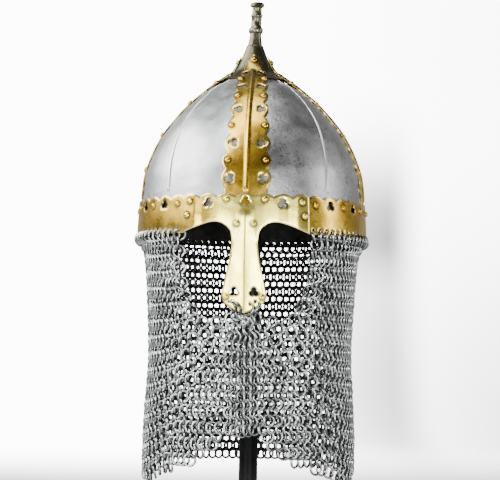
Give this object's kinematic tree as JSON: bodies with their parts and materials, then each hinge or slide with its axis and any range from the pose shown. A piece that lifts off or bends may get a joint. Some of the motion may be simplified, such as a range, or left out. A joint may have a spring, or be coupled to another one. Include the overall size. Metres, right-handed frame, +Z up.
{
  "type": "spired helmet with mail curtain on stand",
  "caption": "Spired four-panel helmet with pierced brass bands, a brow plate with nasal and a hanging mail curtain, held on a plain post stand.",
  "frame": {"origin": "centre of the underside of the stand's base, on the post's axis", "axes": "+Z up, -Y the way the helmet faces, +X to the right of a viewer who faces the nasal"},
  "size_m": [0.2146, 0.2384, 0.5124],
  "materials": {
    "panel_steel": "satin, finely pitted",
    "brass": "polished by hand",
    "dark_steel": "dark, half bright",
    "mail_iron": "galvanised wire",
    "black_paint": "satin black"
  },
  "bodies": {
    "root": {"skull_panel_front_left": "panel_steel", "skull_panel_front_right": "panel_steel", "skull_panel_back_left": "panel_steel", "skull_panel_back_right": "panel_steel", "front_band": "brass", "back_band": "brass", "left_band": "brass", "right_band": "brass", "brow_band": "brass", "nasal_plate": "brass", "front_band_rivet_1": "brass", "front_band_rivet_2": "brass", "front_band_rivet_3": "brass", "front_band_rivet_4": "brass", "front_band_rivet_5": "brass", "front_band_rivet_6": "brass", "front_band_rivet_7": "brass", "front_band_rivet_8": "brass", "nasal_plate_rivet_1": "brass", "nasal_plate_rivet_2": "brass", "nasal_plate_rivet_3": "brass", "nasal_plate_rivet_4": "brass", "nasal_plate_rivet_5": "brass", "nasal_plate_rivet_6": "brass", "nasal_plate_rivet_7": "brass", "nasal_plate_rivet_8": "brass", "nasal_plate_rivet_9": "brass", "nasal_plate_rivet_10": "brass", "tab_rivet_1": "brass", "tab_rivet_2": "brass", "tab_rivet_3": "brass", "tab_rivet_4": "brass", "finial_socket": "dark_steel", "finial_spire": "dark_steel", "mail_curtain": "mail_iron", "stand_base": "black_paint", "stand_post": "black_paint", "stand_cap": "black_paint"}
  },
  "joints": []
}
